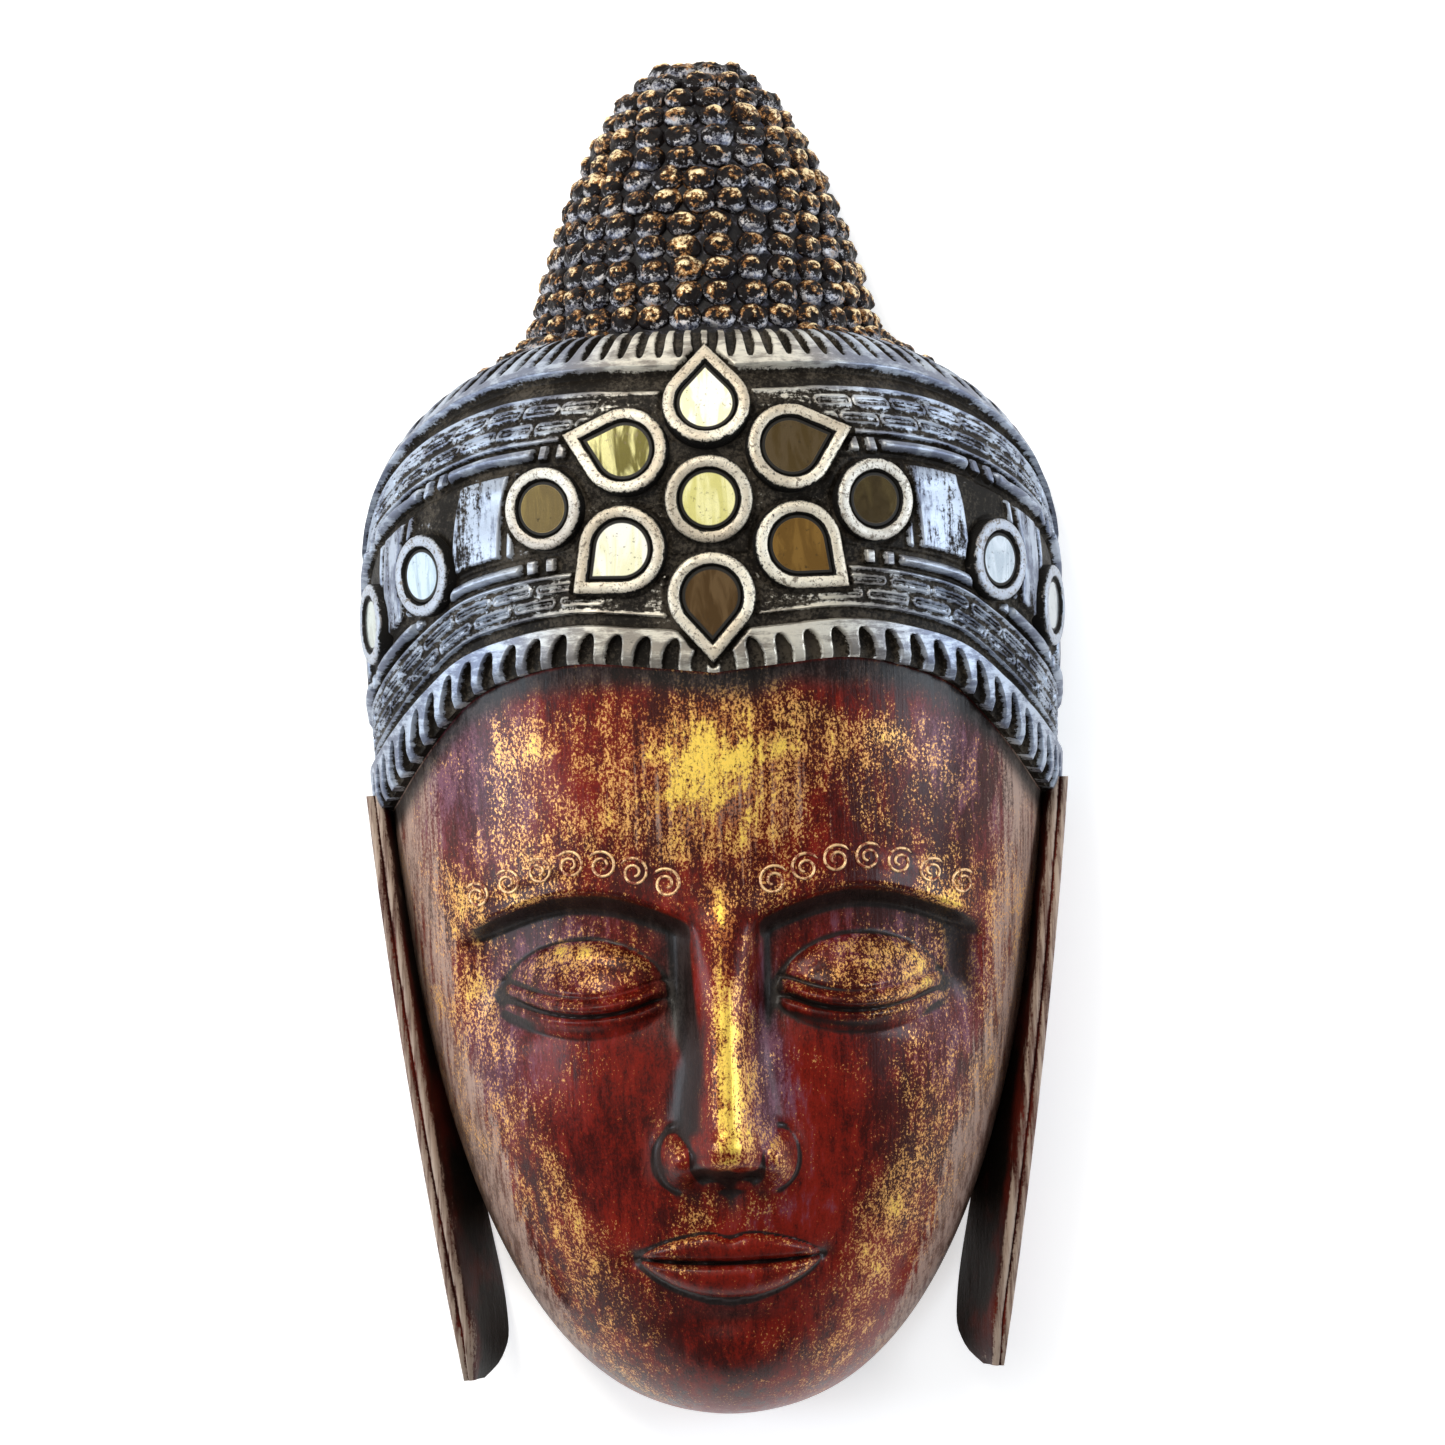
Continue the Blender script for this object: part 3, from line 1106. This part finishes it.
def curls(bronze):
    """Every curl as a knob with a coil cut into its top."""
    random = np.random.default_rng(11)
    spokes = 20
    share = np.linspace(0, 1, 11)[1:]
    turn = np.linspace(0, 2 * math.pi, spokes, endpoint=False)
    points, faces, tops, flanks = [], [], [], []
    for k, y in enumerate(curl_heights()):
        if k % 2 or k == 0:
            continue
        places = np.linspace(-1, 1, 2 * curl_count(y) + 1)
        for v in places[(k // 2) % 2 :: 2]:
            if abs(v) > 0.985 or crown_top(v) + 2.0 > y:
                continue
            normal, centre = outward(v, y), bare(v, y)
            centre[1] -= max(0.0, centre[1] + normal[1] * (CURL_RISE + 1.0) - PARTS)
            up = np.array([0.0, 1.0, 0.0]) - normal * normal[1]
            up /= np.linalg.norm(up)
            right = np.cross(up, normal)
            wide = 0.53 * CURL_PITCH * random.uniform(0.88, 1.04)
            tall = 0.61 * CURL_ROW * random.uniform(0.92, 1.06)
            high = (CURL_RISE + 0.8) * random.uniform(0.90, 1.03)
            start = random.uniform(0, 2 * math.pi)
            centre = centre + right * random.uniform(-0.7, 0.7) + up * random.uniform(-0.5, 0.5)
            first = sum(len(p) for p in points)
            knob = [centre + normal * high]
            shine, flank = [1.0], [0.0]
            for s in share:
                dome = (1 - s**2.2) ** 0.6 if s < 1 else 0.0
                coil = (0.5 + 0.5 * np.cos(2 * math.pi * 1.5 * s - turn - start)) * (s < 0.85)
                lift = high * (dome - 0.15 * coil) - (2.0 if s == 1 else 0)
                reach = s * (1.0 - 0.06 * (s == 1))
                ring = centre + normal * lift[:, None]
                ring = ring + right * (wide * reach * np.cos(turn))[:, None]
                ring = ring + up * (tall * reach * np.sin(turn))[:, None]
                knob.extend(ring)
                shine.extend(np.clip(dome - 0.25 - 0.5 * coil + 0.25 * np.sin(turn), 0, 1))
                flank.extend(np.clip(s * (0.55 - 0.5 * np.sin(turn)) + 0.15, 0, 1) * (s < 0.95))
            knob.append(centre - normal * 3.0)
            shine.append(0.0)
            flank.append(0.0)
            last = (len(share) - 1) * spokes
            for j in range(spokes):
                a, b = first + 1 + j, first + 1 + (j + 1) % spokes
                faces.append((first, a, b))
                faces += [(a + r, a + r + spokes, b + r + spokes, b + r) for r in range(0, last, spokes)]
                faces.append((b + last, a + last, first + 1 + last + spokes))
            points.append(np.array(knob))
            tops.extend(shine)
            flanks.extend(flank)
    flat = np.concatenate(points)
    rough = [wobble(flat[:, 0], flat[:, 1] + flat[:, 2], seed, 7) for seed in (21, 22, 23)]
    flat += 0.35 * np.stack(rough, -1)
    flat[:, 2] = np.maximum(flat[:, 2], 0.05)
    made = add_piece("curls", flat, faces, [bronze], {"top": tops, "flank": flanks}, sharp=80, merge=False)
    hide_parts("mask")


def ears(wood):
    """Each long ear as a plate with a grooved front edge and a scooped inner side."""
    front_x = curve_through((0, 129.5), (0.5, 116), (0.8, 106.5), (1, 100))
    front_z = curve_through((0, 34), (0.12, 44), (0.5, 48), (0.85, 43), (0.96, 37), (1, 31))
    toe_in = curve_through((0, 8), (0.45, 9), (0.75, 13), (0.9, 13.5), (0.95, 12.5), (0.98, 9), (1, 4))
    thick = EAR_THICKNESS / PART
    strip = ((0.02, -1.2, 0.6), (0.14, -0.2, 0.95), (0.3, 0.0, 1.0), (0.42, -0.5, 0.6), (0.5, -1.3, 0.0),
             (0.58, -0.5, 0.6), (0.7, 0.0, 1.0), (0.86, -0.2, 0.95), (0.98, -1.2, 0.6))
    levels = np.linspace(0, 1, 90)
    for side, word in ((-1, "left"), (1, "right")):
        loops, tops = [], []
        for s in levels:
            y = EAR_TOP - s * EAR_LENGTH
            edge, back = float(front_z(s)), 3 + 20 * float(ramp(s, 0.8, 1.05))
            slant = float(toe_in(s)) / (edge - back)
            thin = 1 - 0.4 * float(ramp(s, 0.9, 1))
            section = []
            for share in np.linspace(0, 1, 12):
                z = back + (edge - 2.6 - back) * share
                section.append((0.0, z, 0.24 + 0.3 * share**3))
            section += [(outer, edge + dip, shade) for outer, dip, shade in strip]
            for share in np.linspace(1, 0, 12):
                z = back + (edge - 2.6 - back) * share
                scoop = 0.16 * math.sin(math.pi * share)
                section.append((1.0 - scoop, z, 0.3 * share**8 + 0.03))
            loop = []
            for outer, z, _ in section:
                x = float(front_x(s)) - outer * thick * thin - slant * (edge - z)
                loop.append((side * x, y, z))
            loops.append(np.array(loop))
            tops.extend(shade for *_, shade in section)
        points, faces = stacked(loops)
        count = len(loops[0])
        last = (len(levels) - 1) * count
        faces += [tuple(range(count)), tuple(range(last, last + count))]
        ear = add_piece(f"ear_{word}", points, faces, [wood], {"top": tops}, sharp=55)
        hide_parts("mask")


def front_point(x, y, lift):
    """Point on the carved face at x and y."""
    point = bare(float(way_round(x, y)), y)
    point[2] += float(face_rise(np.array(x), np.array(y))) + lift
    return point


def tube(path, radius, sides=6):
    """A thin closed round bar along a path of points."""
    path = np.array(path)
    loops = []
    for i, point in enumerate(path):
        along = path[min(i + 1, len(path) - 1)] - path[max(i - 1, 0)]
        along /= np.linalg.norm(along)
        across = np.cross(along, (0, 0, 1.0))
        across /= np.linalg.norm(across)
        up = np.cross(across, along)
        size = radius * (0.25 if i in (0, len(path) - 1) else 1.0)
        turns = np.linspace(0, 2 * math.pi, sides, endpoint=False)
        loops.append(point + size * (np.outer(np.cos(turns), across) + np.outer(np.sin(turns), up)))
    points, faces = stacked(loops)
    last = (len(path) - 1) * sides
    return points, faces + [tuple(range(sides)), tuple(range(last, last + sides))]


def brow_scrolls(gilt):
    """A row of small raised scrolls that follows each brow."""
    points, faces = [], []
    for side in (-1, 1):
        for x in np.arange(19.0, 90.0, 11.4):
            y = BROW + 20.5 - float(brow_bend(x))
            size = 6.0 - 0.014 * x
            path = []
            for t in np.linspace(0, 1, 34):
                angle = math.pi * (0.2 + 3.3 * t)
                radius = size * (1 - 0.78 * t)
                out, up = radius * math.cos(angle), radius * math.sin(angle)
                path.append(front_point(side * (x + out), y + up, 0.1))
            gather(points, faces, *tube(path, 0.55))
    scrolls = add_piece("brow_scrolls", np.concatenate(points), faces, [gilt], sharp=80, merge=False)
    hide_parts("mask")


# Floor, light and camera
def floor():
    mesh = bpy.data.meshes.new("floor")
    corners = ((-1, -1), (1, -1), (1, 1), (-1, 1))
    low = cad_box[0][2] - FLOOR_GAP
    mesh.from_pydata([(x * FLOOR_HALF, y * FLOOR_HALF, low) for x, y in corners], [], [(0, 1, 2, 3)])
    f = Finish("pale_floor", 0.9)
    f.paint((0.88, 0.88, 0.88))
    f.shader.inputs["Emission Color"].default_value = (1, 1, 1, 1)
    f.shader.inputs["Emission Strength"].default_value = FLOOR_GLOW
    mesh.materials.append(f.material)
    plane = bpy.data.objects.new("floor", mesh)
    bpy.context.scene.collection.objects.link(plane)


def area_light(name, place, size, power, colour):
    data = bpy.data.lights.new(name, "AREA")
    data.shape = "ELLIPSE"
    data.size, data.size_y = size
    data.energy = power
    data.color = colour
    lamp = bpy.data.objects.new(name, data)
    lamp.location = place
    lamp.rotation_euler = (Vector((0, 0, 0.05)) - Vector(place)).to_track_quat("-Z", "Y").to_euler()
    bpy.context.scene.collection.objects.link(lamp)


def studio():
    world = bpy.data.worlds.new("studio")
    world.use_nodes = True
    world.node_tree.nodes["Background"].inputs["Color"].default_value = (0.95, 0.97, 1, 1)
    world.node_tree.nodes["Background"].inputs["Strength"].default_value = 0.27
    bpy.context.scene.world = world
    warm, cool = (1.0, 0.95, 0.86), (0.80, 0.89, 1.0)
    area_light("window", (-0.7, 1.2, 1.4), (0.8, 0.8), 21, warm)
    area_light("ceiling", (-0.6, 0.45, 2.75), (3.2, 2.2), 15, warm)
    area_light("back_wall", (0, 2.3, 1.5), (2.6, 1.4), 10, warm)
    area_light("left_side", (-1.5, -0.1, 0.62), (0.6, 0.9), 13, cool)
    area_light("right_side", (1.5, 0.1, 0.62), (0.6, 0.9), 13, cool)
    data = bpy.data.cameras.new("camera")
    data.sensor_width = 36
    data.lens = data.sensor_width * CAMERA_HEIGHT / PICTURE_WIDTH
    data.clip_start, data.clip_end = 0.05, 20
    camera = bpy.data.objects.new("camera", data)
    camera.location = (CAMERA_X, CAMERA_Y, CAMERA_HEIGHT)
    camera.rotation_euler = (0, 0, -ROLL)
    bpy.context.scene.collection.objects.link(camera)
    bpy.context.scene.camera = camera
    bpy.context.scene.view_settings.view_transform = "Standard"


wood_body(face_lacquer(), hair_ground(), back_wood())
silver = crown_silver()
crown_strip("crown_lower", silver, 0, LOWER_SEAM, 80)
crown_strip("crown_band", silver, LOWER_SEAM, UPPER_SEAM, 84)
crown_strip("crown_upper", silver, UPPER_SEAM, 1, 84)
mirror_rings(ring_silver())
mirrors()
curls(curl_bronze())
ears(ear_wood())
brow_scrolls(gilt_line())
floor()
studio()
